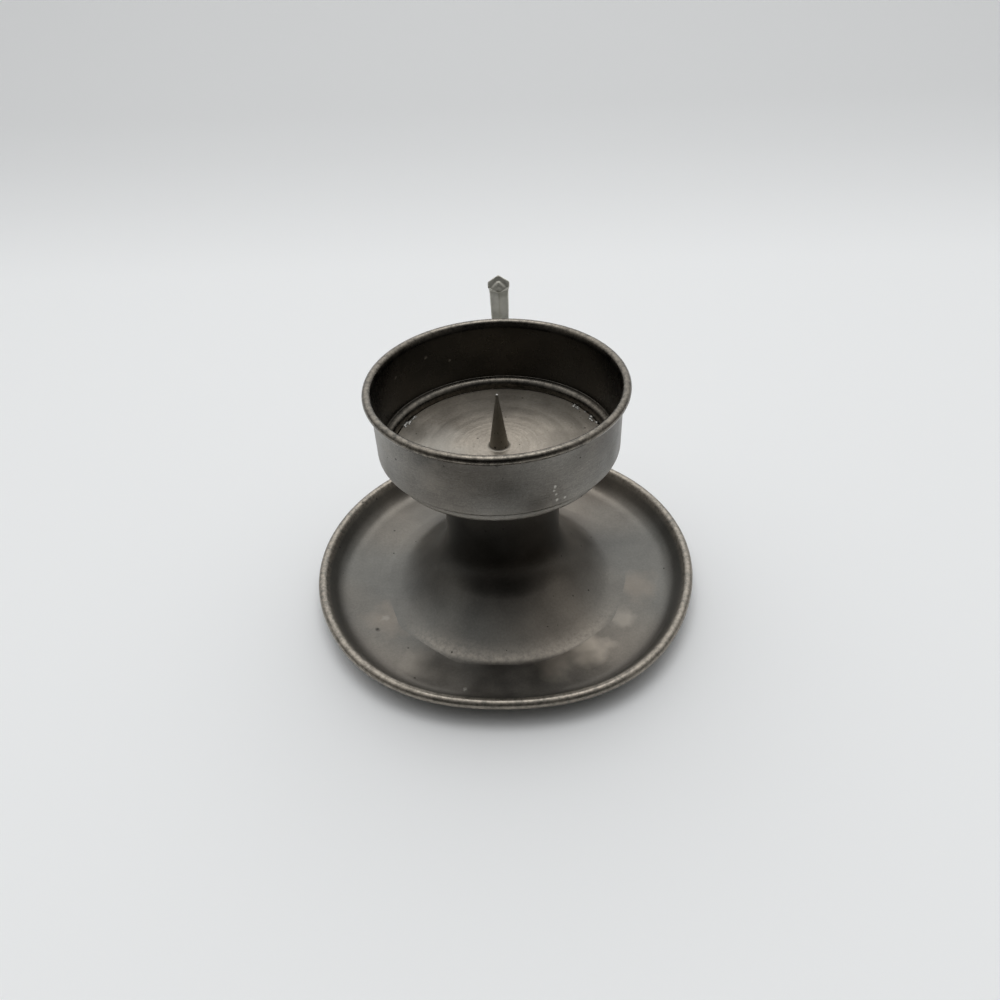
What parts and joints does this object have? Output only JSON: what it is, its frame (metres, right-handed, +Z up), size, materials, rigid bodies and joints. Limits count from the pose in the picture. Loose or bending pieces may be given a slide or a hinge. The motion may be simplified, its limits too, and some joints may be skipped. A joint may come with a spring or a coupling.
{
  "type": "chamberstick",
  "caption": "Pewter chamberstick: a spiked candle cup on a flared hollow stem over a rolled-rim drip dish, with a ridged finger loop and curled thumb piece.",
  "frame": {"origin": "centre of the drip dish on the surface that it stands on", "axes": "+Z up along the axis of the dish, stem, cup and spike; +Y towards the finger loop; +X to the right seen from the side opposite the loop"},
  "size_m": [0.13, 0.13, 0.0875],
  "materials": {
    "polished_pewter": "aged, half polished",
    "brushed_pewter": "aged, finely brushed",
    "cast_pewter": "as cast, rubbed",
    "turned_plate": "turned, dull",
    "solder": "dull",
    "dark_iron": "pitted",
    "plain_steel": "dull",
    "iron_wire": "drawn"
  },
  "bodies": {
    "root": {"base_dish": "polished_pewter", "dish_rim_wire": "iron_wire", "trumpet_stem": "polished_pewter", "stem_solder": "solder", "candle_cup": "brushed_pewter", "cup_rim_wire": "iron_wire", "cup_floor_plate": "turned_plate", "candle_spike": "dark_iron", "spike_washer": "plain_steel", "spike_nut": "plain_steel", "finger_loop": "cast_pewter"}
  },
  "joints": []
}
